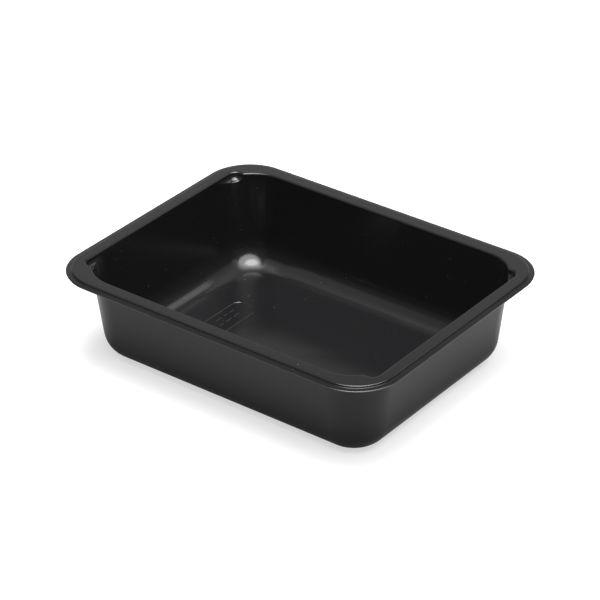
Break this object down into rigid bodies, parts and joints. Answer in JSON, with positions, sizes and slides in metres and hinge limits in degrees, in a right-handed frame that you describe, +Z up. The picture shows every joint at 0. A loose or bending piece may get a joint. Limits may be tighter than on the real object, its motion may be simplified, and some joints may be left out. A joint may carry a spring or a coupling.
{
  "type": "deli food pan",
  "caption": "Rectangular black plastic deli food pan with a flat sealing flange, stepped lip, drafted walls, rounded floor and corner stacking pockets.",
  "frame": {"origin": "middle of the base, on the surface the pan stands on", "axes": "+X along the long sides, +Y along the short sides, +Z up out of the open mouth"},
  "size_m": [0.2276, 0.178, 0.058],
  "materials": {
    "black_plastic": "semi-gloss black crystalline polyester (CPET), thermoformed from sheet"
  },
  "bodies": {
    "root": {"pan_shell": "black_plastic"}
  },
  "joints": []
}
